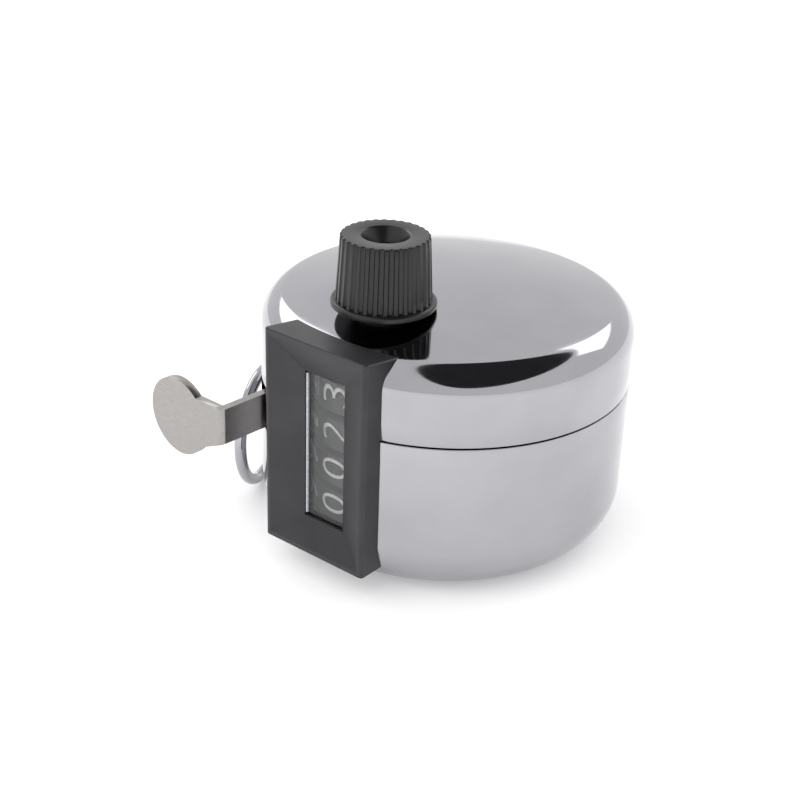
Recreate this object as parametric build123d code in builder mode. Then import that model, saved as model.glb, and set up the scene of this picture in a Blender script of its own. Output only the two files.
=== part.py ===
from build123d import *
import math
import os

os.makedirs("parts", exist_ok=True)

# Hand tally counter. Millimetres, +Z up, origin at the middle of the flat base.
# The window faces -Y, the reset knob stands up on +Z, the thumb lever comes out on -X.

# case
case_radius = 22.5
case_height = 31.7
dome_radius = 87.0
top_edge_radius = 3.65
base_edge_radius = 6.4
wall = 0.9
seam_height = 20.1

# bezel and window
bezel_front = 23.95
bezel_half_width = 7.5
bezel_bottom = 3.35
bezel_top = 30.15
window_half_width = 2.95
window_bottom = 7.0
window_top = 25.65
window_middle = (window_bottom + window_top) / 2
window_depth = 22.1

# number wheels
wheel_axis_y = -12.3
wheel_radius = 7.8
wheel_pitch = 4.68
wheel_base = 5.85
rim_gap = 0.85
shaft_radius = 1.5
running_fit = 0.06

# carry gears
gear_teeth = 20
pinion_teeth = 8
pinion_distance = 8.6
gear_module = 2 * pinion_distance / (gear_teeth + pinion_teeth)
gear_pitch_radius = gear_module * gear_teeth / 2
pinion_pitch_radius = gear_module * pinion_teeth / 2
pinion_angle = -10.0
pinion_x = pinion_distance * math.cos(math.radians(pinion_angle))
pinion_y = wheel_axis_y + pinion_distance * math.sin(math.radians(pinion_angle))
pinion_shaft_radius = 0.5

# frame inside the case
plate = 0.8
lower_plate_z = 2.6
upper_plate_z = 27.4
lower_cheek_z = 4.3
upper_cheek_z = 25.0
pawl_z = 25.9
ratchet_z = 25.6
frame_radius = 17.2
post_places = [(0, 14), (12.5, 6.5), (-12.8, 5.5)]

# thumb lever
pivot_x = 11.8
pivot_y = -10.0
pivot_radius = 1.2
lever_sheet = 1.0
arm_bottom = 14.1
arm_top = 18.6
pad_radius = 4.88
lever_corner_x = -12.5
lever_corner_y = -25.8
lever_turn = -3.8
pad_reach = 8.15
pad_z = 14.85

# finger ring
ring_wire = 0.75
ring_plane = 23.5
ring_angle = 203.0
ring_reach = 9.15
ring_hinge_reach = -9.25
ring_bottom = 1.05
ring_top = 15.55
ring_x = math.cos(math.radians(ring_angle))
ring_y = math.sin(math.radians(ring_angle))
hinge_x = ring_x * ring_plane - ring_y * ring_hinge_reach
hinge_y = ring_y * ring_plane + ring_x * ring_hinge_reach
hinge_angle = math.degrees(math.atan2(hinge_y, hinge_x))
bracket_bottom = 6.8
bracket_top = 11.2
bracket_middle = (bracket_bottom + bracket_top) / 2
rivet_angles = (hinge_angle - 9, hinge_angle + 9)


def case_solid(inset):
    # the closed outer form of the case, moved inwards by inset
    radius = case_radius - inset
    apex = case_height - inset
    cap = dome_radius - inset
    rim = apex - cap + math.sqrt(cap * cap - radius * radius)
    half = apex - cap + math.sqrt(cap * cap - radius * radius / 4)
    with BuildPart(mode=Mode.PRIVATE) as form:
        with BuildSketch(Plane.XZ):
            with BuildLine():
                Polyline((0, apex), (0, inset), (radius, inset), (radius, rim))
                ThreePointArc((radius, rim), (radius / 2, half), (0, apex))
            make_face()
            outline = vertices()
            fillet([v for v in outline if v.X > 1 and v.Z < 5], base_edge_radius - inset)
            outline = vertices()
            fillet([v for v in outline if v.X > radius - 0.01 and v.Z > 20], top_edge_radius - inset)
        revolve(axis=Axis.Z)
    return form.part


def toothed_outline(count, tip, pitch, root, tip_half, pitch_half, root_half):
    # one gear outline: a root circle with straight-flanked teeth, first tooth on +X
    with BuildSketch(mode=Mode.PRIVATE) as outline:
        Circle(root)
        with PolarLocations(0, count):
            Polygon(
                (root - 0.3, -root_half), (root, -root_half), (pitch, -pitch_half), (tip, -tip_half),
                (tip, tip_half), (pitch, pitch_half), (root, root_half), (root - 0.3, root_half),
                align=None,
            )
    return outline.sketch


outer_form = case_solid(0)
inner_form = case_solid(wall)
bezel_seat_form = case_solid(-0.03)

# lower half of the case
with BuildPart() as lower_shell:
    add(outer_form)
    add(inner_form, mode=Mode.SUBTRACT)
    split(bisect_by=Plane.XY.offset(seam_height), keep=Keep.BOTTOM)
    # spigot that the upper half slides over
    with Locations((0, 0, seam_height - 1.6)):
        Cylinder(case_radius - wall + 0.2, 1.6, align=(Align.CENTER, Align.CENTER, Align.MIN))
        Cylinder(case_radius - wall - 0.45, 1.6, align=(Align.CENTER, Align.CENTER, Align.MIN),
                 mode=Mode.SUBTRACT)
    with BuildSketch(Plane.XY.offset(seam_height)):
        Circle(case_radius - wall - 0.05)
        Circle(case_radius - wall - 0.45, mode=Mode.SUBTRACT)
    extrude(amount=1.0)
    # bosses that carry the frame
    with Locations([(x, y, wall - 0.05) for x, y in post_places]):
        Cylinder(2.4, lower_plate_z - wall + 0.05, align=(Align.CENTER, Align.CENTER, Align.MIN))
    with Locations([(x, y, -1) for x, y in post_places]):
        Cylinder(0.85, 6, align=(Align.CENTER, Align.CENTER, Align.MIN), mode=Mode.SUBTRACT)
    with Locations([(x, y, 0.0) for x, y in post_places]):
        Cone(1.75, 0.85, 0.9, align=(Align.CENTER, Align.CENTER, Align.MIN), mode=Mode.SUBTRACT)
    # window opening
    with Locations((0, -20, 5.6)):
        Box(10.0, 8, 30, align=(Align.CENTER, Align.CENTER, Align.MIN), mode=Mode.SUBTRACT)
    # lever slot
    with Locations((-13.4, -18, (arm_bottom + arm_top) / 2)):
        Box(4.0, 8, arm_top - arm_bottom + 1.2, mode=Mode.SUBTRACT)
    # rivet holes for the ring bracket
    for angle in rivet_angles:
        with Locations(Location((0, 0, bracket_middle), (0, 0, angle))):
            with Locations((case_radius, 0, 0)):
                Cylinder(0.5, 4, rotation=(0, 90, 0), mode=Mode.SUBTRACT)
lower_shell.part.label = "lower_shell"

# upper half of the case
with BuildPart() as upper_shell:
    add(outer_form)
    add(inner_form, mode=Mode.SUBTRACT)
    split(bisect_by=Plane.XY.offset(seam_height + 0.08), keep=Keep.TOP)
    with Locations((0, -20, 0)):
        Box(10.0, 8, 27.2, align=(Align.CENTER, Align.CENTER, Align.MIN), mode=Mode.SUBTRACT)
    with Locations((0, wheel_axis_y, 30)):
        Cylinder(2.9, 10, mode=Mode.SUBTRACT)
upper_shell.part.label = "upper_shell"

# picture-frame bezel around the window
with BuildPart() as bezel:
    with BuildSketch(Plane.YZ.offset(-bezel_half_width)):
        with BuildLine():
            Polyline((-bezel_front, bezel_bottom), (-bezel_front, bezel_top), (-18.2, 29.31),
                     (-18.2, bezel_bottom), close=True)
        make_face()
    extrude(amount=2 * bezel_half_width)
    fillet(bezel.edges().filter_by(Axis.Z).group_by(Axis.Y)[0], 0.5)
    front_rim = bezel.faces().sort_by(Axis.Y)[0].edges()
    chamfer(front_rim, 0.12)
    add(bezel_seat_form, mode=Mode.SUBTRACT)
    # the part that goes through the case wall and holds the lens
    with Locations((0, -20.85, window_middle)):
        Box(9.6, 1.75, 20.9, align=(Align.CENTER, Align.MAX, Align.CENTER))
    # sloping faces of the frame
    with BuildSketch(Plane.XZ.offset(bezel_front + 0.01)) as frame_outer:
        with Locations((0, (bezel_bottom + bezel_top) / 2)):
            Rectangle(2 * bezel_half_width - 1.3, bezel_top - bezel_bottom - 1.3)
    with BuildSketch(Plane.XZ.offset(window_depth)) as frame_inner:
        with Locations((0, window_middle)):
            Rectangle(2 * window_half_width, window_top - window_bottom)
    loft(mode=Mode.SUBTRACT)
    # through opening and lens seat
    with Locations((0, -21, window_middle)):
        Box(2 * window_half_width, 8, window_top - window_bottom, mode=Mode.SUBTRACT)
    with Locations((0, -window_depth + 0.35, window_middle)):
        Box(7.1, 3, 19.7, align=(Align.CENTER, Align.MIN, Align.CENTER), mode=Mode.SUBTRACT)
bezel.part.label = "bezel"

# clear lens behind the bezel
with BuildPart() as window_lens:
    with Locations((0, -window_depth + 0.36, window_middle)):
        Box(7.0, 0.7, 19.6, align=(Align.CENTER, Align.MIN, Align.CENTER))
window_lens.part.label = "window_lens"

# frame plates
with BuildPart() as lower_frame_plate:
    with BuildSketch(Plane.XY.offset(lower_plate_z)):
        Circle(frame_radius)
        with Locations((0, wheel_axis_y)):
            Circle(2.4, mode=Mode.SUBTRACT)
        with Locations((pivot_x, pivot_y)):
            Circle(pivot_radius, mode=Mode.SUBTRACT)
        with Locations((pinion_x, pinion_y)):
            Circle(pinion_shaft_radius, mode=Mode.SUBTRACT)
        with Locations(post_places):
            Circle(0.85, mode=Mode.SUBTRACT)
    extrude(amount=plate)
lower_frame_plate.part.label = "lower_frame_plate"

with BuildPart() as upper_frame_plate:
    with BuildSketch(Plane.XY.offset(upper_plate_z)):
        Circle(frame_radius)
        with Locations((0, wheel_axis_y)):
            Circle(2.9, mode=Mode.SUBTRACT)
        with Locations((pivot_x, pivot_y)):
            Circle(pivot_radius, mode=Mode.SUBTRACT)
        with Locations((pinion_x, pinion_y)):
            Circle(pinion_shaft_radius, mode=Mode.SUBTRACT)
        with Locations(post_places):
            Circle(0.85, mode=Mode.SUBTRACT)
        with Locations((0, 5)):
            SlotOverall(16, 5, mode=Mode.SUBTRACT)
    extrude(amount=plate)
upper_frame_plate.part.label = "upper_frame_plate"

post_bottom = lower_plate_z + plate
with BuildPart() as frame_posts:
    with Locations([(x, y, post_bottom) for x, y in post_places]):
        Cylinder(1.5, upper_plate_z - post_bottom, align=(Align.CENTER, Align.CENTER, Align.MIN))
    with Locations([(x, y, post_bottom) for x, y in post_places]):
        Cylinder(0.8, 2.0, align=(Align.CENTER, Align.CENTER, Align.MIN), mode=Mode.SUBTRACT)
    with Locations([(x, y, upper_plate_z) for x, y in post_places]):
        Cylinder(0.8, 2.0, align=(Align.CENTER, Align.CENTER, Align.MAX), mode=Mode.SUBTRACT)
frame_posts.part.label = "frame_posts"

# screws through the base of the case into the posts
with BuildPart() as base_screws:
    with Locations([(x, y, 0.1) for x, y in post_places]):
        Cone(1.6, 0.8, 0.8, align=(Align.CENTER, Align.CENTER, Align.MIN))
    with Locations([(x, y, 0.8) for x, y in post_places]):
        Cylinder(0.8, 4.4, align=(Align.CENTER, Align.CENTER, Align.MIN))
    with Locations([(x, y, 0.1) for x, y in post_places]):
        Box(2.4, 0.4, 0.35, align=(Align.CENTER, Align.CENTER, Align.MIN), mode=Mode.SUBTRACT)
base_screws.part.label = "base_screws"

# screws that hold the upper plate
with BuildPart() as frame_screws:
    with Locations([(x, y, upper_plate_z + plate) for x, y in post_places]):
        Cylinder(1.4, 0.6, align=(Align.CENTER, Align.CENTER, Align.MIN))
    with Locations([(x, y, upper_plate_z + plate) for x, y in post_places]):
        Cylinder(0.8, 2.7, align=(Align.CENTER, Align.CENTER, Align.MAX))
    with Locations([(x, y, upper_plate_z + plate + 0.6) for x, y in post_places]):
        Box(3, 0.35, 0.3, align=(Align.CENTER, Align.CENTER, Align.MAX), mode=Mode.SUBTRACT)
frame_screws.part.label = "frame_screws"

# shaft that carries the number wheels, with its reset groove
with BuildPart() as wheel_shaft:
    with Locations((0, wheel_axis_y, 1.9)):
        Cylinder(shaft_radius, 35.6, align=(Align.CENTER, Align.CENTER, Align.MIN))
    with Locations((0, wheel_axis_y + shaft_radius, wheel_base)):
        Box(0.6, 0.8, 4 * wheel_pitch, align=(Align.CENTER, Align.CENTER, Align.MIN),
            mode=Mode.SUBTRACT)
    with BuildSketch(Plane.XY.offset(2.0)):
        with Locations((0, wheel_axis_y)):
            Circle(shaft_radius)
            Circle(1.1, mode=Mode.SUBTRACT)
    extrude(amount=0.5, mode=Mode.SUBTRACT)
wheel_shaft.part.label = "wheel_shaft"

with BuildPart() as shaft_clip:
    with BuildSketch(Plane.XY.offset(2.05)):
        with Locations((0, wheel_axis_y)):
            Circle(2.3)
            Circle(1.12, mode=Mode.SUBTRACT)
        with Locations((0, wheel_axis_y - 2)):
            Rectangle(1.3, 2.6, mode=Mode.SUBTRACT)
    extrude(amount=0.4)
shaft_clip.part.label = "shaft_clip"

knob_bottom = 31.6
knob_top = 39.9
flange_height = 0.75

# bushes the shaft turns in
with BuildPart() as lower_bush:
    with Locations((0, wheel_axis_y, lower_plate_z)):
        Cylinder(2.4, wheel_base - 0.3 - lower_plate_z, align=(Align.CENTER, Align.CENTER, Align.MIN))
    with Locations((0, wheel_axis_y, 0)):
        Cylinder(shaft_radius + running_fit, 12, align=(Align.CENTER, Align.CENTER, Align.MIN),
                 mode=Mode.SUBTRACT)
lower_bush.part.label = "lower_bush"

with BuildPart() as knob_bush:
    # collar between the domed case and the level underside of the knob
    with Locations((0, wheel_axis_y, 28)):
        Cylinder(3.2, knob_bottom - 0.1 - 28, align=(Align.CENTER, Align.CENTER, Align.MIN))
    add(outer_form, mode=Mode.SUBTRACT)
    with Locations((0, wheel_axis_y, upper_plate_z - 0.3)):
        Cylinder(2.85, knob_bottom - 0.1 - upper_plate_z + 0.3, align=(Align.CENTER, Align.CENTER, Align.MIN))
    with Locations((0, wheel_axis_y, 20)):
        Cylinder(shaft_radius + running_fit, 20, align=(Align.CENTER, Align.CENTER, Align.MIN),
                 mode=Mode.SUBTRACT)
knob_bush.part.label = "knob_bush"

# fluted reset knob
with BuildPart() as reset_knob:
    with Locations((0, wheel_axis_y, knob_bottom)):
        Cylinder(6.05, flange_height, align=(Align.CENTER, Align.CENTER, Align.MIN))
    fillet(reset_knob.edges().sort_by(Axis.Z)[-1], 0.3)
    with BuildSketch(Plane.XY.offset(knob_bottom + flange_height - 0.1)):
        with Locations((0, wheel_axis_y)):
            Circle(5.5)
            with PolarLocations(5.65, 30):
                Circle(0.36, mode=Mode.SUBTRACT)
    extrude(amount=knob_top - knob_bottom - flange_height + 0.1, taper=3.4)
    # dished top with a screw hole
    with Locations((0, wheel_axis_y, knob_top)):
        Cone(1.95, 2.75, 1.7, align=(Align.CENTER, Align.CENTER, Align.MAX), mode=Mode.SUBTRACT)
        Cylinder(1.95, 2.4, align=(Align.CENTER, Align.CENTER, Align.MAX), mode=Mode.SUBTRACT)
    with Locations((0, wheel_axis_y, 20)):
        Cylinder(shaft_radius + 0.01, 25, align=(Align.CENTER, Align.CENTER, Align.MIN),
                 mode=Mode.SUBTRACT)
reset_knob.part.label = "reset_knob"

with BuildPart() as knob_screw:
    with Locations((0, wheel_axis_y, 37.51)):
        Cylinder(1.85, 0.7, align=(Align.CENTER, Align.CENTER, Align.MIN))
    fillet(knob_screw.edges().sort_by(Axis.Z)[-1], 0.25)
    with Locations((0, wheel_axis_y, 38.21)):
        Box(4, 0.4, 0.3, align=(Align.CENTER, Align.CENTER, Align.MAX), mode=Mode.SUBTRACT)
knob_screw.part.label = "knob_screw"

# number wheels, from the lowest digit place upwards
gear_outline = toothed_outline(gear_teeth, gear_pitch_radius + 0.5, gear_pitch_radius,
                               gear_pitch_radius - 0.72, 0.2, 0.38, 0.58)
pinion_outline = toothed_outline(pinion_teeth, pinion_pitch_radius + 0.5, pinion_pitch_radius,
                                 pinion_pitch_radius - 0.72, 0.17, 0.36, 0.42)
ratchet_teeth = 10
wheel_names = ["thousands_wheel", "hundreds_wheel", "tens_wheel", "units_wheel"]
for place, name in enumerate(wheel_names):
    base = wheel_base + place * wheel_pitch
    rim_bottom = base + rim_gap - 0.05
    rim_top = base + wheel_pitch - 0.05
    hub_bottom = base + 0.34 if place > 0 else base - 0.2
    with BuildPart() as wheel:
        with Locations((0, wheel_axis_y, rim_bottom)):
            Cylinder(wheel_radius, rim_top - rim_bottom, align=(Align.CENTER, Align.CENTER, Align.MIN))
        chamfer(wheel.edges().filter_by(GeomType.CIRCLE), 0.1)
        # recess on the lower side
        with BuildSketch(Plane.XY.offset(rim_bottom)):
            with Locations((0, wheel_axis_y)):
                Circle(6.7)
                Circle(2.4, mode=Mode.SUBTRACT)
        extrude(amount=2.4, mode=Mode.SUBTRACT)
        with Locations((0, wheel_axis_y, hub_bottom)):
            Cylinder(2.4, rim_bottom - hub_bottom + 0.1, align=(Align.CENTER, Align.CENTER, Align.MIN))
        if place < 3:
            # carry gear on the upper side
            with BuildSketch(Plane.XY.offset(rim_top - 0.05)):
                with Locations(Location((0, wheel_axis_y), pinion_angle)):
                    add(gear_outline)
            extrude(amount=0.35)
        else:
            with Locations((0, wheel_axis_y, rim_top - 0.05)):
                Cylinder(2.3, ratchet_z - rim_top + 0.05, align=(Align.CENTER, Align.CENTER, Align.MIN))
        if place > 0:
            # carry finger with two teeth, and its web
            with BuildSketch(Plane.XY.offset(base + 0.45)):
                with Locations((0, wheel_axis_y)):
                    Circle(4.6)
                with Locations(Location((0, wheel_axis_y), pinion_angle + 9)):
                    with Locations((4.9, 0.62), (4.9, -0.62)):
                        Rectangle(0.9, 0.5)
            extrude(amount=0.3)
            with Locations((0, wheel_axis_y, base + 0.6)):
                Cylinder(3.2, 2.7, align=(Align.CENTER, Align.CENTER, Align.MIN))
        with Locations((0, wheel_axis_y, 0)):
            Cylinder(shaft_radius + running_fit, 60, mode=Mode.SUBTRACT)
    wheel.part.label = name
    export_step(wheel.part, "parts/" + name + ".step")

# ratchet on the units wheel, driven by the pawl
with BuildPart() as ratchet_wheel:
    with BuildSketch(Plane.XY.offset(ratchet_z)):
        with Locations((0, wheel_axis_y)):
            Circle(3.6)
            with PolarLocations(0, ratchet_teeth):
                Polygon((3.2, -0.9), (3.5, -1.1), (4.4, 0.1), (4.3, 0.35), (3.5, 0.3), (3.2, 0.3), align=None)
            Circle(shaft_radius + running_fit, mode=Mode.SUBTRACT)
    extrude(amount=1.0)
ratchet_wheel.part.label = "ratchet_wheel"

# carry pinions
pinion_names = ["hundreds_pinion", "tens_pinion", "units_pinion"]
for place, name in enumerate(pinion_names):
    base = wheel_base + (place + 1) * wheel_pitch
    with BuildPart() as pinion:
        with BuildSketch(Plane.XY.offset(base + 0.04)):
            with Locations(Location((pinion_x, pinion_y), pinion_angle + 180 + 180 / pinion_teeth)):
                add(pinion_outline)
            with Locations((pinion_x, pinion_y)):
                Circle(pinion_shaft_radius + 0.05, mode=Mode.SUBTRACT)
        extrude(amount=0.66)
    pinion.part.label = name
    export_step(pinion.part, "parts/" + name + ".step")

with BuildPart() as pinion_shaft:
    with Locations((pinion_x, pinion_y, lower_plate_z)):
        Cylinder(pinion_shaft_radius, upper_plate_z + plate - lower_plate_z,
                 align=(Align.CENTER, Align.CENTER, Align.MIN))
pinion_shaft.part.label = "pinion_shaft"

# tubes that keep the pinions apart; thin enough to clear the wheel rims
spacer_starts = [post_bottom] + [wheel_base + (i + 1) * wheel_pitch + 0.78 for i in range(3)]
spacer_ends = [wheel_base + (i + 1) * wheel_pitch - 0.04 for i in range(3)] + [upper_plate_z]
with BuildPart() as pinion_spacers:
    for start, end in zip(spacer_starts, spacer_ends):
        with BuildSketch(Plane.XY.offset(start)):
            with Locations((pinion_x, pinion_y)):
                Circle(0.65)
                Circle(pinion_shaft_radius, mode=Mode.SUBTRACT)
        extrude(amount=end - start)
pinion_spacers.part.label = "pinion_spacers"

# thumb lever: two cheeks, a side wall, the arm and the round pad
lever_cos = math.cos(math.radians(lever_turn))
lever_sin = math.sin(math.radians(lever_turn))
plate_plane = Plane(
    origin=(lever_corner_x, lever_corner_y, 0),
    x_dir=(lever_cos, lever_sin, 0),
    z_dir=(lever_sin, -lever_cos, 0),
)
with BuildPart() as thumb_lever:
    for cheek in (lower_cheek_z, upper_cheek_z):
        with BuildSketch(Plane.XY.offset(cheek)):
            with Locations((0, wheel_axis_y)):
                Circle(9.6)
                Circle(6.0, mode=Mode.SUBTRACT)
            with Locations((0, wheel_axis_y - 8.2)):
                Rectangle(40, 12.0, mode=Mode.SUBTRACT)
            with Locations((10, wheel_axis_y - 1)):
                Rectangle(6, 4, mode=Mode.SUBTRACT)
            with Locations((pivot_x, pivot_y)):
                Circle(2.4)
            Polygon((pivot_x - 1.0, pivot_y + 2.18), (pivot_x - 2.2, pivot_y - 0.9), (5.9, -11.0),
                    (7.0, -5.8), align=None)
            Polygon((-12.75, -15.4), (-12.75, -7.6), (-8.2, -7.4), (-6.2, -12.2), (-7.0, -16.6),
                    (-9.0, -16.6), align=None)
            with Locations((pivot_x, pivot_y)):
                Circle(pivot_radius + running_fit, mode=Mode.SUBTRACT)
        extrude(amount=plate)
    # side wall that joins the cheeks
    with Locations((-12.25, -11.5, lower_cheek_z)):
        Box(lever_sheet, 7.8, upper_cheek_z + plate - lower_cheek_z, align=(Align.CENTER, Align.CENTER, Align.MIN))
    # arm through the slot
    with Locations(Location((lever_corner_x, lever_corner_y, arm_bottom), (0, 0, lever_turn))):
        Box(lever_sheet, 11.4, arm_top - arm_bottom, align=(Align.MAX, Align.MIN, Align.MIN))
    # neck and pad
    with BuildSketch(plate_plane):
        with Locations((-pad_reach, pad_z)):
            Circle(pad_radius)
        Polygon((0, arm_bottom), (0, arm_top), (-4.7, arm_top - 0.15), (-6, pad_z), (-4.7, 11.9),
                align=None)
    extrude(amount=-lever_sheet)
    fillet(thumb_lever.edges().filter_by(Axis.Z).sort_by(Axis.Y)[0], 0.6)
thumb_lever.part.label = "thumb_lever"

with BuildPart() as lever_pivot_pin:
    with Locations((pivot_x, pivot_y, lower_plate_z)):
        Cylinder(pivot_radius, upper_plate_z + plate - lower_plate_z,
                 align=(Align.CENTER, Align.CENTER, Align.MIN))
lever_pivot_pin.part.label = "lever_pivot_pin"

# washers that hold the lever in height on its pin
with BuildPart() as pivot_washers:
    for start, end in (
        (post_bottom, lower_cheek_z - 0.1),
        (lower_cheek_z + plate + 0.1, lower_cheek_z + plate + 0.7),
        (upper_cheek_z + plate + 0.1, upper_plate_z),
    ):
        with BuildSketch(Plane.XY.offset(start)):
            with Locations((pivot_x, pivot_y)):
                Circle(2.0)
                Circle(pivot_radius, mode=Mode.SUBTRACT)
        extrude(amount=end - start)
pivot_washers.part.label = "pivot_washers"

# coiled return spring round the pin
spring_wire = 0.22
spring_radius = 1.75
spring_start = 6.6
spring_turns = 5
spring_pitch = 0.55
with BuildPart() as return_spring:
    with BuildLine() as spring_line:
        Helix(spring_pitch, spring_pitch * spring_turns, spring_radius, center=(pivot_x, pivot_y, spring_start))
    with BuildSketch(Plane(origin=spring_line.line @ 0, z_dir=spring_line.line % 0)):
        Circle(spring_wire)
    sweep()
    leg_top = spring_start + spring_pitch * spring_turns
    with Locations((pivot_x + spring_radius, pivot_y, spring_start)):
        Cylinder(spring_wire, 5.0, rotation=(90, 0, 0), align=(Align.CENTER, Align.CENTER, Align.MAX))
    with Locations((pivot_x + spring_radius, pivot_y, leg_top)):
        Cylinder(spring_wire, 14.5, rotation=(90, 0, 0), align=(Align.CENTER, Align.CENTER, Align.MAX))
return_spring.part.label = "return_spring"

# drive pawl, its pin on the lever and its leaf spring
pawl_pin_x = -8.0
pawl_pin_y = -15.2
with BuildPart() as pawl_pin:
    with Locations((pawl_pin_x, pawl_pin_y, upper_cheek_z + plate)):
        Cylinder(0.6, 0.95, align=(Align.CENTER, Align.CENTER, Align.MIN))
pawl_pin.part.label = "pawl_pin"

with BuildPart() as drive_pawl:
    with BuildSketch(Plane.XY.offset(pawl_z)):
        with Locations((pawl_pin_x, pawl_pin_y)):
            Circle(1.25)
        Polygon((pawl_pin_x - 0.7, pawl_pin_y + 1.0), (pawl_pin_x + 1.0, pawl_pin_y - 0.7),
                (-4.75, wheel_axis_y - 0.9), (-4.75, wheel_axis_y - 0.2), (-5.4, wheel_axis_y - 0.2),
                align=None)
        with Locations((pawl_pin_x, pawl_pin_y)):
            Circle(0.65, mode=Mode.SUBTRACT)
    extrude(amount=0.7)
drive_pawl.part.label = "drive_pawl"

with BuildPart() as pawl_spring:
    with BuildSketch(Plane.XY.offset(upper_cheek_z + plate)):
        Polygon((-12.1, -10.4), (-11.7, -10.4), (-9.1, -13.4), (-8.75, -13.85), (-9.05, -14.0),
                (-9.4, -13.6), align=None)
    extrude(amount=0.6)
pawl_spring.part.label = "pawl_spring"

# leaf that stops the ratchet from turning back
with BuildPart() as holding_spring:
    with BuildSketch(Plane.XY.offset(pawl_z + 0.1)):
        with Locations((12.5, 6.5)):
            Circle(2.0)
            Circle(1.5, mode=Mode.SUBTRACT)
        Polygon((10.75, 6.0), (11.1, 5.7), (4.85, -11.7), (4.65, -12.2), (4.55, -11.7), align=None)
    extrude(amount=0.6)
holding_spring.part.label = "holding_spring"

# finger ring: a wire loop, straight on its hinge side and round at its free end
ring_frame = Plane(
    origin=(ring_x * ring_plane, ring_y * ring_plane, 0),
    x_dir=(-ring_y, ring_x, 0),
    z_dir=(ring_x, ring_y, 0),
)
print("finger ring hinge at", round(hinge_x, 3), round(hinge_y, 3))
ring_middle = (ring_bottom + ring_top) / 2
ring_half = (ring_top - ring_bottom) / 2
with BuildPart() as finger_ring:
    with BuildLine(ring_frame) as ring_line:
        Polyline(
            (ring_reach - ring_half, ring_top), (ring_hinge_reach + 2.5, ring_top))
        RadiusArc((ring_hinge_reach + 2.5, ring_top), (ring_hinge_reach, ring_top - 2.5), -2.5)
        Line((ring_hinge_reach, ring_top - 2.5), (ring_hinge_reach, ring_bottom + 2.5))
        RadiusArc((ring_hinge_reach, ring_bottom + 2.5), (ring_hinge_reach + 2.5, ring_bottom), -2.5)
        Line((ring_hinge_reach + 2.5, ring_bottom), (ring_reach - ring_half, ring_bottom))
        ThreePointArc((ring_reach - ring_half, ring_bottom), (ring_reach, ring_middle),
                      (ring_reach - ring_half, ring_top))
    with BuildSketch(Plane(origin=ring_line.line @ 0, z_dir=ring_line.line % 0)):
        Circle(ring_wire)
    sweep()
finger_ring.part.label = "finger_ring"

# bracket that hinges the ring on the case, with two rivets
with BuildPart() as ring_bracket:
    with BuildSketch(Plane.XY.offset(bracket_bottom)):
        with Locations((hinge_x, hinge_y)):
            Circle(1.45)
        with Locations(Location((0, 0), hinge_angle)):
            with Locations((case_radius + 1.5, 0)):
                Rectangle(3.6, 1.8)
    extrude(amount=bracket_top - bracket_bottom)
    # base strap that follows the case
    with BuildSketch(Plane.XY.offset(bracket_bottom)):
        Circle(case_radius + 0.6)
        with Locations(Location((0, 0), hinge_angle)):
            Rectangle(60, 60, align=(Align.MAX, Align.CENTER), mode=Mode.SUBTRACT)
            with Locations((0, 5.4)):
                Rectangle(60, 40, align=(Align.CENTER, Align.MIN), mode=Mode.SUBTRACT)
            with Locations((0, -5.4)):
                Rectangle(60, 40, align=(Align.CENTER, Align.MAX), mode=Mode.SUBTRACT)
    extrude(amount=bracket_top - bracket_bottom)
    with Locations((0, 0, bracket_middle)):
        Cylinder(case_radius + 0.01, 20, mode=Mode.SUBTRACT)
    with Locations((hinge_x, hinge_y, bracket_middle)):
        Cylinder(ring_wire + 0.08, 20, mode=Mode.SUBTRACT)
    for angle in rivet_angles:
        with Locations(Location((0, 0, bracket_middle), (0, 0, angle))):
            with Locations((case_radius, 0, 0)):
                Cylinder(0.55, 6, rotation=(0, 90, 0), mode=Mode.SUBTRACT)
ring_bracket.part.label = "ring_bracket"

with BuildPart() as bracket_rivets:
    for angle in rivet_angles:
        with Locations(Location((0, 0, bracket_middle), (0, 0, angle))):
            with Locations((case_radius - 1.2, 0, 0)):
                Cylinder(0.5, 1.85, rotation=(0, 90, 0), align=(Align.CENTER, Align.CENTER, Align.MIN))
            with Locations((case_radius + 0.62, 0, 0)):
                Cylinder(1.0, 0.35, rotation=(0, 90, 0), align=(Align.CENTER, Align.CENTER, Align.MIN))
bracket_rivets.part.label = "bracket_rivets"

for piece in (
    lower_shell, upper_shell, bezel, window_lens, lower_frame_plate, upper_frame_plate, frame_posts,
    base_screws, frame_screws, wheel_shaft, shaft_clip, lower_bush, knob_bush, reset_knob, knob_screw,
    ratchet_wheel, pinion_shaft, pinion_spacers, thumb_lever, lever_pivot_pin, pivot_washers,
    return_spring, pawl_pin, drive_pawl, pawl_spring, holding_spring, finger_ring, ring_bracket,
    bracket_rivets,
):
    export_step(piece.part, "parts/" + piece.part.label + ".step")
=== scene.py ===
import math

import bmesh
import bpy
from mathutils import Matrix, Vector


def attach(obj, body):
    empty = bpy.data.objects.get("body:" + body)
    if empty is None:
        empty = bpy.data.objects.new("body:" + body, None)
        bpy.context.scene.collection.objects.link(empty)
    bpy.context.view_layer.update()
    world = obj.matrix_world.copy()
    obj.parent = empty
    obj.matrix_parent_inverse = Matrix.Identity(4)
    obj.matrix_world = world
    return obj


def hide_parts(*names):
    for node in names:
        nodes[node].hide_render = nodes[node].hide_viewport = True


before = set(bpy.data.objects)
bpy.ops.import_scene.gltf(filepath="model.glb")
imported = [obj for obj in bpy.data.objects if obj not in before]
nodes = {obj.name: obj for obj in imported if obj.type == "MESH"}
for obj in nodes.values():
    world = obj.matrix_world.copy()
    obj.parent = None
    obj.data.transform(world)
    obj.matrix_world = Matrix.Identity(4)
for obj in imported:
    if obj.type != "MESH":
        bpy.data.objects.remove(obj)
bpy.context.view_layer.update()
mm = 0.001
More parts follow.
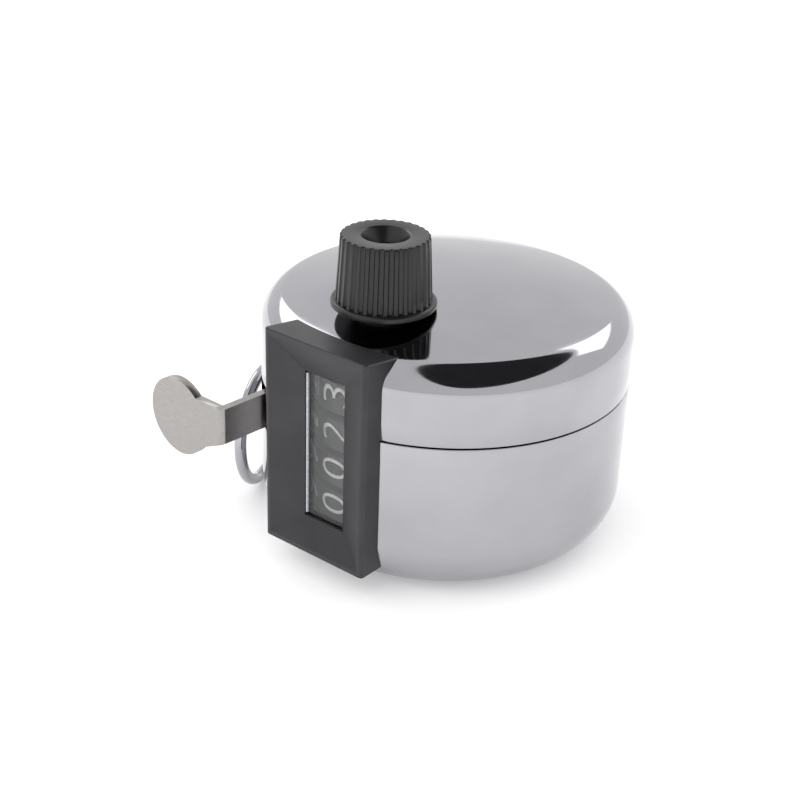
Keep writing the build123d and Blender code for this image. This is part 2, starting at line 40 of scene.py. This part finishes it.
print("frame loaded:", len(nodes), "nodes")


# small helpers

def hexColour(text):
    # sRGB hex to the linear values that shaders work in
    text = text.lstrip("#")
    linear = []
    for start in (0, 2, 4):
        part = int(text[start:start + 2], 16) / 255
        linear.append(part / 12.92 if part <= 0.04045 else ((part + 0.055) / 1.055) ** 2.4)
    return (*linear, 1.0)


def addNode(tree, kind, settings=None, links=None):
    # one node, with its settings and the sockets that feed it
    node = tree.nodes.new(kind)
    for key, value in (settings or {}).items():
        if hasattr(node, key) and key not in node.inputs:
            setattr(node, key, value)
        else:
            node.inputs[key].default_value = value
    for key, source in (links or {}).items():
        tree.links.new(source, node.inputs[key])
    return node


def deselectAll():
    if bpy.context.object and bpy.context.object.mode != "OBJECT":
        bpy.ops.object.mode_set(mode="OBJECT")
    bpy.ops.object.select_all(action="DESELECT")


def pick(piece):
    deselectAll()
    piece.select_set(True)
    bpy.context.view_layer.objects.active = piece


def settle(piece):
    # leaves the object at the origin with its place in its mesh
    pick(piece)
    bpy.ops.object.transform_apply(location=True, rotation=True, scale=True)


def applyAll(piece):
    pick(piece)
    for modifier in list(piece.modifiers):
        bpy.ops.object.modifier_apply(modifier=modifier.name)


def smooth(piece, degrees=30):
    pick(piece)
    bpy.ops.object.shade_smooth_by_angle(angle=math.radians(degrees))


def paint(piece, material):
    piece.data.materials.clear()
    piece.data.materials.append(material)


def arc(centreR, centreZ, radius, startDegrees, endDegrees, steps):
    points = []
    for i in range(steps + 1):
        angle = math.radians(startDegrees + (endDegrees - startDegrees) * i / steps)
        points.append((centreR + radius * math.cos(angle), centreZ + radius * math.sin(angle)))
    return points


def spinProfile(name, profile, steps, centre=(0.0, 0.0)):
    # a closed profile of (radius, height) pairs in mm, turned about the vertical through centre
    mesh = bpy.data.meshes.new(name)
    points = [(r * mm, 0, z * mm) for r, z in profile]
    edges = [(i, (i + 1) % len(points)) for i in range(len(points))]
    mesh.from_pydata(points, edges, [])
    piece = bpy.data.objects.new(name, mesh)
    bpy.context.scene.collection.objects.link(piece)
    pick(piece)
    bpy.ops.object.mode_set(mode="EDIT")
    bpy.ops.mesh.select_all(action="SELECT")
    bpy.ops.mesh.spin(steps=steps, angle=2 * math.pi, center=(0, 0, 0), axis=(0, 0, 1))
    bpy.ops.mesh.select_all(action="SELECT")
    bpy.ops.mesh.remove_doubles(threshold=0.000002)
    bpy.ops.mesh.dissolve_degenerate(threshold=0.0000005)
    bpy.ops.mesh.normals_make_consistent(inside=False)
    bpy.ops.object.mode_set(mode="OBJECT")
    piece.location = (centre[0] * mm, centre[1] * mm, 0)
    settle(piece)
    return piece


def boxCutter(name, low, high):
    bpy.ops.mesh.primitive_cube_add(size=1)
    cutter = bpy.context.object
    cutter.name = name
    cutter.scale = [(h - l) * mm for l, h in zip(low, high)]
    cutter.location = [(h + l) / 2 * mm for l, h in zip(low, high)]
    settle(cutter)
    return cutter


def cut(piece, cutters):
    for cutter in cutters:
        hole = piece.modifiers.new("cut", "BOOLEAN")
        hole.operation = "DIFFERENCE"
        hole.solver = "EXACT"
        hole.object = cutter
    applyAll(piece)
    for cutter in cutters:
        bpy.data.objects.remove(cutter, do_unlink=True)


# materials

def principled(name):
    material = bpy.data.materials.new(name)
    material.use_nodes = True
    return material, material.node_tree, material.node_tree.nodes["Principled BSDF"]


def colourFrom(tree, shader, source, low, high):
    # base colour that goes between two (position, hex) stops as the source pattern rises
    ramp = addNode(tree, "ShaderNodeValToRGB", {}, {"Fac": source.outputs["Fac"]})
    for stop, (position, colour) in zip(ramp.color_ramp.elements, (low, high)):
        stop.position = position
        stop.color = hexColour(colour)
    tree.links.new(ramp.outputs["Color"], shader.inputs["Base Color"])


def objectPlace(tree, scale=(1, 1, 1)):
    place = addNode(tree, "ShaderNodeTexCoord")
    return addNode(tree, "ShaderNodeMapping", {"Scale": scale}, {"Vector": place.outputs["Object"]})


def chromePlate():
    # bright nickel-chrome plating on drawn sheet: mirror-like, with a faint waviness of the
    # pressed sheet, thin wiping haze and a few hairline handling marks
    material, tree, shader = principled("chromePlateOnPressedSteel")
    shader.inputs["Metallic"].default_value = 1.0
    place = objectPlace(tree)
    tone = addNode(tree, "ShaderNodeTexNoise", {"Scale": 120.0, "Detail": 3.0}, {"Vector": place.outputs[0]})
    colourFrom(tree, shader, tone, (0.3, "#a7a6aa"), (0.75, "#afaeb2"))
    haze = addNode(tree, "ShaderNodeTexNoise", {"Scale": 260.0, "Detail": 5.0, "Roughness": 0.6},
                   {"Vector": place.outputs[0]})
    rough = addNode(tree, "ShaderNodeMapRange", {"From Min": 0.35, "From Max": 0.75, "To Min": 0.06,
                                                 "To Max": 0.11}, {"Value": haze.outputs["Fac"]})
    # hairlines about 0.05 mm wide, drawn slightly coarse so that they show
    stretched = objectPlace(tree, (1.0, 1.0, 0.08))
    lines = addNode(tree, "ShaderNodeTexNoise", {"Scale": 6000.0, "Detail": 1.0},
                    {"Vector": stretched.outputs[0]})
    marks = addNode(tree, "ShaderNodeMapRange", {"From Min": 0.72, "From Max": 0.8, "To Min": 0.0,
                                                 "To Max": 0.08}, {"Value": lines.outputs["Fac"]})
    total = addNode(tree, "ShaderNodeMath", {"operation": "ADD"})
    tree.links.new(rough.outputs[0], total.inputs[0])
    tree.links.new(marks.outputs[0], total.inputs[1])
    tree.links.new(total.outputs[0], shader.inputs["Roughness"])
    wave = addNode(tree, "ShaderNodeTexNoise", {"Scale": 160.0, "Detail": 1.0}, {"Vector": place.outputs[0]})
    bump = addNode(tree, "ShaderNodeBump", {"Strength": 0.05, "Distance": 0.00002},
                   {"Height": wave.outputs["Fac"]})
    tree.links.new(bump.outputs[0], shader.inputs["Normal"])
    return material


def satinNickelSheet(name, light="#aaa7a4", dark="#989592", roughness=0.34, along=(1, 1, 12)):
    # dull nickel plate over a fine linished sheet: broad soft reflections with a light grain
    material, tree, shader = principled(name)
    shader.inputs["Metallic"].default_value = 1.0
    place = objectPlace(tree, along)
    grain = addNode(tree, "ShaderNodeTexNoise", {"Scale": 900.0, "Detail": 4.0, "Roughness": 0.65},
                    {"Vector": place.outputs[0]})
    colourFrom(tree, shader, grain, (0.32, dark), (0.68, light))
    rough = addNode(tree, "ShaderNodeMapRange", {"To Min": roughness - 0.06, "To Max": roughness + 0.08},
                    {"Value": grain.outputs["Fac"]})
    tree.links.new(rough.outputs[0], shader.inputs["Roughness"])
    bump = addNode(tree, "ShaderNodeBump", {"Strength": 0.12, "Distance": 0.00002},
                   {"Height": grain.outputs["Fac"]})
    tree.links.new(bump.outputs[0], shader.inputs["Normal"])
    return material


def mouldedPlastic(name, base, worn, roughness, grain, depth, specular=0.5):
    # injection-moulded plastic: an even body colour, a spark-eroded grain and slightly
    # paler, smoother places where it has been handled
    material, tree, shader = principled(name)
    place = objectPlace(tree)
    handled = addNode(tree, "ShaderNodeTexNoise", {"Scale": 180.0, "Detail": 4.0},
                      {"Vector": place.outputs[0]})
    colourFrom(tree, shader, handled, (0.35, base), (0.8, worn))
    shader.inputs["IOR"].default_value = 1.5
    shader.inputs["Specular IOR Level"].default_value = specular
    rough = addNode(tree, "ShaderNodeMapRange", {"To Min": roughness + 0.06, "To Max": roughness - 0.05},
                    {"Value": handled.outputs["Fac"]})
    tree.links.new(rough.outputs[0], shader.inputs["Roughness"])
    # grain size in mm
    pits = addNode(tree, "ShaderNodeTexVoronoi", {"Scale": 1 / (grain * mm)}, {"Vector": place.outputs[0]})
    bump = addNode(tree, "ShaderNodeBump", {"Strength": depth, "Distance": 0.00003},
                   {"Height": pits.outputs["Distance"]})
    tree.links.new(bump.outputs[0], shader.inputs["Normal"])
    return material


def clearAcrylic():
    # polished clear acrylic: no colour of its own, with a faint haze that catches the light
    material, tree, shader = principled("polishedClearAcrylic")
    shader.inputs["Base Color"].default_value = hexColour("#f6f8f8")
    shader.inputs["Transmission Weight"].default_value = 1.0
    shader.inputs["IOR"].default_value = 1.49
    place = objectPlace(tree)
    haze = addNode(tree, "ShaderNodeTexNoise", {"Scale": 700.0, "Detail": 3.0}, {"Vector": place.outputs[0]})
    rough = addNode(tree, "ShaderNodeMapRange", {"To Min": 0.0, "To Max": 0.05},
                    {"Value": haze.outputs["Fac"]})
    tree.links.new(rough.outputs[0], shader.inputs["Roughness"])
    return material


def frostedEdge():
    # painted highlight: a pale grey strip with fine streaks across it, standing in for the bright line of
    # light at the clear pane's edge
    material, tree, shader = principled("paintedHighlightPaneStrip")
    place = objectPlace(tree, (1.0, 1.0, 14.0))
    saw = addNode(tree, "ShaderNodeTexNoise", {"Scale": 500.0, "Detail": 3.0}, {"Vector": place.outputs[0]})
    colourFrom(tree, shader, saw, (0.3, "#a9adb0"), (0.7, "#c9cccd"))
    shader.inputs["Roughness"].default_value = 0.5
    shader.inputs["IOR"].default_value = 1.49
    return material


def printedInk():
    # thick white printing ink on the wheels, matt and slightly uneven
    material, tree, shader = principled("whitePadPrintInk")
    place = objectPlace(tree)
    cover = addNode(tree, "ShaderNodeTexNoise", {"Scale": 2500.0, "Detail": 4.0},
                    {"Vector": place.outputs[0]})
    colourFrom(tree, shader, cover, (0.25, "#d9d8d4"), (0.6, "#f7f6f2"))
    shader.inputs["Roughness"].default_value = 0.55
    return material


def floorPaper():
    # matt white background paper with a very faint tooth
    material, tree, shader = principled("matteWhitePaper")
    place = objectPlace(tree)
    tooth = addNode(tree, "ShaderNodeTexNoise", {"Scale": 900.0, "Detail": 3.0}, {"Vector": place.outputs[0]})
    colourFrom(tree, shader, tooth, (0.0, "#f3f3f3"), (1.0, "#f8f8f8"))
    shader.inputs["Roughness"].default_value = 0.9
    shader.inputs["Specular IOR Level"].default_value = 0.1
    shader.inputs["Emission Color"].default_value = hexColour("#ffffff")
    shader.inputs["Emission Strength"].default_value = 0.22
    return material


def blackCard():
    # dull black card with a soft fibre
    material, tree, shader = principled("matteBlackCard")
    place = objectPlace(tree)
    fibre = addNode(tree, "ShaderNodeTexNoise", {"Scale": 300.0}, {"Vector": place.outputs[0]})
    colourFrom(tree, shader, fibre, (0.0, "#262628"), (1.0, "#2e2e30"))
    shader.inputs["Roughness"].default_value = 0.95
    shader.inputs["Specular IOR Level"].default_value = 0.1
    return material


chrome = chromePlate()
satinNickel = satinNickelSheet("satinNickelOnSheetSteel")
zincSteel = satinNickelSheet("brightZincPlatedSteel", "#b9bab8", "#a2a4a4", 0.4, (1, 1, 1))
groundSteel = satinNickelSheet("groundSilverSteel", "#c8c8c8", "#b4b4b4", 0.22, (1, 1, 20))
springSteel = satinNickelSheet("blueGreySpringSteel", "#8f9092", "#77787b", 0.35, (1, 1, 4))
turnedBrass = satinNickelSheet("turnedBrass", "#cdae68", "#b5924a", 0.28, (1, 1, 20))
bezelPlastic = mouldedPlastic("satinBlackAbsBezel", "#242225", "#2f2d31", 0.42, 0.16, 0.25)
knobPlastic = mouldedPlastic("glossBlackMouldedKnob", "#131214", "#1c1b1d", 0.3, 0.4, 0.08)
wheelPlastic = mouldedPlastic("darkGreyAcetalWheel", "#222123", "#2c2b2e", 0.45, 0.2, 0.15)
pinionPlastic = mouldedPlastic("naturalWhiteAcetal", "#dedcd4", "#ebe9e2", 0.4, 0.2, 0.1)
acrylic = clearAcrylic()
paneHighlightMaterial = frostedEdge()
whiteInk = printedInk()
paper = floorPaper()
cardBlack = blackCard()

nodeFinish = {
    "lower_shell": chrome, "upper_shell": chrome, "bezel": bezelPlastic, "window_lens": acrylic,
    "knob_bush": knobPlastic, "ring_bracket": chrome, "bracket_rivets": chrome,
    "lower_frame_plate": zincSteel, "upper_frame_plate": zincSteel, "frame_posts": turnedBrass,
    "base_screws": zincSteel, "frame_screws": zincSteel, "lower_bush": turnedBrass,
    "pinion_shaft": groundSteel, "pinion_spacers": groundSteel, "lever_pivot_pin": groundSteel,
    "pivot_washers": turnedBrass, "return_spring": springSteel, "holding_spring": springSteel,
    "thumb_lever": satinNickel, "pawl_pin": groundSteel, "pawl_spring": springSteel,
    "drive_pawl": groundSteel, "units_wheel": wheelPlastic, "ratchet_wheel": turnedBrass,
    "tens_wheel": wheelPlastic, "hundreds_wheel": wheelPlastic, "thousands_wheel": wheelPlastic,
    "units_pinion": pinionPlastic, "tens_pinion": pinionPlastic, "hundreds_pinion": pinionPlastic,
    "reset_knob": knobPlastic, "wheel_shaft": groundSteel, "shaft_clip": springSteel,
    "knob_screw": springSteel, "finger_ring": chrome,
}
for name, material in nodeFinish.items():
    paint(nodes[name], material)
print("finishes on every node")


# case shells, turned smooth so that the plating reflects cleanly

caseSizes = {"radius": 22.5, "height": 31.7, "dome": 87.0, "topEdge": 3.65, "baseEdge": 6.4,
             "wall": 0.9, "seam": 20.1, "steps": 256, "rolledRim": 0.18,
             "upperWindow": ((-5, -24, 10), (5, -16, 27.2)), "lowerWindow": ((-5, -24, 5.6), (5, -16, 30)),
             "leverSlot": ((-15.4, -22, 13.5), (-11.4, -14, 19.2)), "bushHole": 2.9, "bushY": -12.3,
             "screws": ((0, 14), (12.5, 6.5), (-12.8, 5.5)), "screwHead": 1.75, "screwShank": 0.8}


def caseShells(s):
    domeZ = s["height"] - s["dome"]
    edgeR = s["radius"] - s["topEdge"]
    edgeZ = domeZ + math.sqrt((s["dome"] - s["topEdge"]) ** 2 - edgeR ** 2)
    tilt = math.degrees(math.acos(edgeR / (s["dome"] - s["topEdge"])))
    w = s["wall"]
    # the two rims are rolled in slightly where they meet
    lip = s["rolledRim"]
    outer = arc(0, domeZ, s["dome"], 90, tilt, 30) + arc(edgeR, edgeZ, s["topEdge"], tilt, 0, 22)[1:]
    inner = arc(0, domeZ, s["dome"] - w, 90, tilt, 14) + arc(edgeR, edgeZ, s["topEdge"] - w, tilt, 0, 10)[1:]
    seamTop = s["seam"] + 0.1
    upper = outer + [(s["radius"], seamTop + lip + 2.0), (s["radius"], seamTop + lip),
                     (s["radius"] - 0.05, seamTop + 0.05), (s["radius"] - 0.2, seamTop)]
    upper += [(s["radius"] - w, seamTop)] + inner[::-1]
    baseR = s["radius"] - s["baseEdge"]
    lowerOuter = [(0, 0)] + arc(baseR, s["baseEdge"], s["baseEdge"], -90, 0, 26)
    lowerInner = [(0, w)] + arc(baseR, s["baseEdge"], s["baseEdge"] - w, -90, 0, 12)
    seamLow = s["seam"] - 0.04
    lower = lowerOuter + [(s["radius"], seamLow - lip - 2.0), (s["radius"], seamLow - lip),
                          (s["radius"] - 0.05, seamLow - 0.05), (s["radius"] - 0.2, seamLow)]
    lower += [(s["radius"] - w - 0.05, seamLow), (s["radius"] - w - 0.05, s["seam"] + 1.0),
              (s["radius"] - w - 0.45, s["seam"] + 1.0), (s["radius"] - w - 0.45, s["seam"] - 1.6)]
    lower += lowerInner[::-1]
    upperShell = spinProfile("upperShell", upper, s["steps"])
    lowerShell = spinProfile("lowerShell", lower, s["steps"])
    cut(upperShell, [boxCutter("windowCutter", *s["upperWindow"])])
    bpy.ops.mesh.primitive_cylinder_add(radius=s["bushHole"] * mm, depth=10 * mm, vertices=64,
                                        location=(0, s["bushY"] * mm, 30 * mm))
    bushCutter = bpy.context.object
    settle(bushCutter)
    cut(upperShell, [bushCutter])
    cutters = [boxCutter("windowCutter", *s["lowerWindow"]), boxCutter("slotCutter", *s["leverSlot"])]
    for x, y in s["screws"]:
        bpy.ops.mesh.primitive_cone_add(radius1=s["screwHead"] * mm, radius2=s["screwShank"] * mm,
                                        depth=1.2 * mm, vertices=48, location=(x * mm, y * mm, 0.55 * mm))
        cutters.append(bpy.context.object)
        settle(bpy.context.object)
    cut(lowerShell, cutters)
    for shell, node in ((upperShell, "upper_shell"), (lowerShell, "lower_shell")):
        smooth(shell, 35)
        paint(shell, chrome)
        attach(shell, "case")
        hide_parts(node)


caseShells(caseSizes)
print("case shells turned")


# numerals on the wheels

numeralSizes = {"wheelRadius": 7.8, "axisY": -12.3, "base": 5.85, "pitch": 4.68, "height": 3.65,
                "width": 2.4, "raised": 0.33, "proud": 0.03, "stroke": -0.012, "ink": 0.04,
                "wheelLift": 0.8, "wheelGap": 0.05, "oneWidth": 0.55}
wheelPlaces = [("thousands", 0), ("hundreds", 0), ("tens", 2), ("units", 3)]


def numeralMesh(digit, s):
    bpy.ops.object.text_add()
    text = bpy.context.object
    text.data.body = str(digit)
    text.data.align_x = "CENTER"
    text.data.align_y = "CENTER"
    text.data.resolution_u = 8
    text.data.offset = s["stroke"]
    bpy.ops.object.convert(target="MESH")
    flat = bpy.context.object
    pick(flat)
    bpy.ops.object.mode_set(mode="EDIT")
    bpy.ops.mesh.select_all(action="SELECT")
    bpy.ops.mesh.remove_doubles(threshold=0.0001)
    for i in range(-6, 7):
        bpy.ops.mesh.select_all(action="SELECT")
        bpy.ops.mesh.bisect(plane_co=(0, i * 0.08, 0), plane_no=(0, 1, 0))
    bpy.ops.object.mode_set(mode="OBJECT")
    xs = [v.co.x for v in flat.data.vertices]
    ys = [v.co.y for v in flat.data.vertices]
    wide = s["width"] * (s["oneWidth"] if digit == 1 else 1)
    for v in flat.data.vertices:
        v.co.x = (v.co.x - (max(xs) + min(xs)) / 2) / (max(xs) - min(xs)) * wide
        v.co.y = (v.co.y - (max(ys) + min(ys)) / 2) / (max(ys) - min(ys)) * s["height"]
    return flat


def wheelNumerals(s):
    flats = [numeralMesh(d, s) for d in range(10)]
    for place, (name, shown) in enumerate(wheelPlaces):
        centreZ = s["base"] + place * s["pitch"] + s["raised"]
        centreZ += (s["wheelLift"] + s["pitch"] - s["wheelGap"]) / 2
        rolled = []
        for digit, flat in enumerate(flats):
            one = flat.copy()
            one.data = flat.data.copy()
            bpy.context.scene.collection.objects.link(one)
            radius = s["wheelRadius"] + s["proud"]
            middle = math.radians(-90 + 36 * (digit - shown))
            for v in one.data.vertices:
                # the numeral's up runs round the wheel towards -X, its right runs up the axle
                angle = middle - v.co.y / s["wheelRadius"]
                v.co = Vector((radius * math.cos(angle) * mm, (s["axisY"] + radius * math.sin(angle)) * mm,
                               (centreZ + v.co.x) * mm))
            rolled.append(one)
        deselectAll()
        for one in rolled:
            one.select_set(True)
        bpy.context.view_layer.objects.active = rolled[0]
        bpy.ops.object.join()
        numerals = bpy.context.object
        numerals.name = name + "Numerals"
        pick(numerals)
        skin = numerals.modifiers.new("ink", "SOLIDIFY")
        skin.thickness = s["ink"] * mm
        skin.offset = 0
        applyAll(numerals)
        paint(numerals, whiteInk)
        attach(numerals, name)
    for flat in flats:
        bpy.data.objects.remove(flat, do_unlink=True)


wheelNumerals(numeralSizes)
print("numerals rolled onto the wheels")


# fluted reset knob

knobSizes = {"axisY": -12.3, "bottom": 31.6, "flangeTop": 32.35, "top": 39.9, "flangeRadius": 6.05,
             "lowRadius": 5.5, "highRadius": 5.06, "dish": 2.8, "well": 1.95, "wellFloor": 37.5,
             "coneFloor": 38.35, "wellRim": 38.15, "bore": 1.51, "flutes": 30, "fluteDepth": 0.24,
             "fluteWidth": 0.3, "around": 480}


def fluteAt(turn, s):
    # 1 in the middle of a groove and 0 on a rib
    across = (turn * s["flutes"]) % 1.0 - 0.5
    return math.sqrt(max(0.0, 1 - (across / s["fluteWidth"]) ** 2))


def resetKnob(s):
    low, high = s["lowRadius"], s["highRadius"]
    # radius, height and how much of the fluting each ring carries
    rings = [(s["bore"], s["bottom"], 0), (s["flangeRadius"] - 0.12, s["bottom"], 0),
             (s["flangeRadius"], s["bottom"] + 0.12, 0), (s["flangeRadius"], s["flangeTop"] - 0.3, 0)]
    rings += [(r, z, 0) for r, z in arc(s["flangeRadius"] - 0.3, s["flangeTop"] - 0.3, 0.3, 0, 90, 5)[1:]]
    rings += [(low + 0.05, s["flangeTop"], 0.2), (low, s["flangeTop"] + 0.06, 1)]
    for i in range(1, 7):
        t = i / 6
        wallZ = s["flangeTop"] + (s["top"] - 0.2 - s["flangeTop"]) * t
        rings.append((low + (high + 0.02 - low) * t, wallZ, 1))
    rings += [(high - 0.03, s["top"] - 0.09, 0.95), (high - 0.1, s["top"] - 0.025, 0.85),
              (high - 0.2, s["top"], 0.6), (high - 0.42, s["top"], 0.0), (s["dish"] + 0.15, s["top"], 0),
              (s["dish"], s["top"] - 0.05, 0), (s["dish"] - 0.12, s["top"] - 0.2, 0),
              (s["well"] + 0.1, s["coneFloor"], 0), (s["well"], s["wellRim"], 0),
              (s["well"], s["wellFloor"], 0),
              (s["bore"], s["wellFloor"], 0)]
    mesh = bpy.data.meshes.new("fluteKnob")
    form = bmesh.new()
    loops = []
    for radius, height, share in rings:
        loop = []
        for i in range(s["around"]):
            turn = i / s["around"]
            out = radius - s["fluteDepth"] * share * fluteAt(turn, s)
            angle = 2 * math.pi * turn
            loop.append(form.verts.new((out * math.cos(angle) * mm,
                                        (s["axisY"] + out * math.sin(angle)) * mm, height * mm)))
        loops.append(loop)
    for lower, upper in zip(loops, loops[1:] + loops[:1]):
        for i in range(s["around"]):
            j = (i + 1) % s["around"]
            form.faces.new((lower[i], lower[j], upper[j], upper[i]))
    bmesh.ops.recalc_face_normals(form, faces=form.faces)
    form.to_mesh(mesh)
    form.free()
    knob = bpy.data.objects.new("flutedKnob", mesh)
    bpy.context.scene.collection.objects.link(knob)
    smooth(knob, 40)
    paint(knob, knobPlastic)
    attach(knob, "knob")
    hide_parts("reset_knob")


resetKnob(knobSizes)
print("knob fluted")


# crisp pressed and moulded edges on the parts that keep their CAD mesh

edgeRounding = {"bezel": 0.18, "thumb_lever": 0.22, "knob_bush": 0.1, "knob_screw": 0.06,
                "ring_bracket": 0.15}
for name, width in edgeRounding.items():
    piece = nodes[name]
    weld = piece.modifiers.new("weld", "WELD")
    weld.merge_threshold = 0.000005
    bevel = piece.modifiers.new("edge", "BEVEL")
    bevel.width = width * mm
    bevel.segments = 3
    bevel.limit_method = "ANGLE"
    bevel.angle_limit = math.radians(35)
    bevel.harden_normals = True
print("edges rounded")


# painted highlight: a pale strip at the window pane's edge beside the numerals, standing in for the bright
# line of light there

paneSizes = {"left": -2.93, "right": -2.62, "front": -21.98, "back": -21.6, "bottom": 7.3, "top": 25.35}


def paneEdge(s):
    strip = boxCutter("paneEdge", (s["left"], s["front"], s["bottom"]), (s["right"], s["back"], s["top"]))
    rim = strip.modifiers.new("edge", "BEVEL")
    rim.width = 0.08 * mm
    rim.segments = 3
    applyAll(strip)
    smooth(strip, 40)
    # the strip's pale colour is a painted highlight along the pane's edge
    paint(strip, paneHighlightMaterial)
    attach(strip, "case")


paneEdge(paneSizes)
print("pane edge laid")


# floor, light and camera

stageSizes = {"floor": 3.0, "world": 1.15}
bpy.ops.mesh.primitive_plane_add(size=stageSizes["floor"])
floor = bpy.context.object
floor.name = "floor"
paint(floor, paper)

# a dark card over the table, seen only in the plating: it keeps the top edge from burning out
cardSizes = {"place": (0.41, -0.17, 0.5), "long": 1.44, "wide": 0.66, "turn": -50}
bpy.ops.mesh.primitive_circle_add(vertices=96, radius=0.5, fill_type="NGON", location=cardSizes["place"],
                                  rotation=(0, 0, math.radians(cardSizes["turn"])))
card = bpy.context.object
card.name = "darkCard"
card.scale = (cardSizes["long"], cardSizes["wide"], 1)
paint(card, cardBlack)
card.visible_camera = False
card.visible_diffuse = False
card.visible_shadow = False
card.visible_transmission = False

world = bpy.data.worlds.new("softStudio")
bpy.context.scene.world = world
world.use_nodes = True
backdrop = world.node_tree.nodes["Background"]
backdrop.inputs["Color"].default_value = hexColour("#ededee")
backdrop.inputs["Strength"].default_value = stageSizes["world"]

lights = [
    # name, place, target, width, height, power in watts, seen in the plating
    ("keySoftbox", (-0.30, -0.42, 0.50), (0, 0, 0.015), 0.40, 0.40, 0.9, False),
    ("backLeftSoftbox", (-0.60, 0.12, 0.42), (0, 0, 0.02), 0.42, 0.30, 0.75, True),
    ("backRightSoftbox", (0.08, 0.66, 0.52), (0, 0, 0.02), 0.50, 0.26, 0.75, True),
    ("floorPool", (0.02, -0.20, 0.22), (0.02, -0.15, 0), 0.10, 0.10, 0.06, False),
]
for name, place, target, width, height, power, mirrored in lights:
    data = bpy.data.lights.new(name, "AREA")
    data.shape = "RECTANGLE"
    data.size = width
    data.size_y = height
    data.energy = power
    lamp = bpy.data.objects.new(name, data)
    bpy.context.scene.collection.objects.link(lamp)
    lamp.location = place
    lamp.rotation_euler = (Vector(target) - Vector(place)).to_track_quat("-Z", "Y").to_euler()
    lamp.visible_glossy = mirrored

cameraView = {"place": (0.09659, -0.12886, 0.09564), "target": (0, 0, 0.014), "lens": 65.2,
              "roll": 2.9, "shiftX": -0.0548, "shiftY": 0.0076}
cameraData = bpy.data.cameras.new("camera")
cameraData.lens = cameraView["lens"]
cameraData.sensor_width = 36
cameraData.shift_x = cameraView["shiftX"]
cameraData.shift_y = cameraView["shiftY"]
cameraData.clip_start = 0.01
camera = bpy.data.objects.new("camera", cameraData)
bpy.context.scene.collection.objects.link(camera)
camera.location = cameraView["place"]
aim = (Vector(cameraView["target"]) - Vector(cameraView["place"])).to_track_quat("-Z", "Y").to_matrix()
camera.rotation_euler = (aim @ Matrix.Rotation(math.radians(cameraView["roll"]), 3, "Z")).to_euler()
bpy.context.scene.camera = camera
bpy.context.scene.view_settings.view_transform = "Standard"
print("stage set")
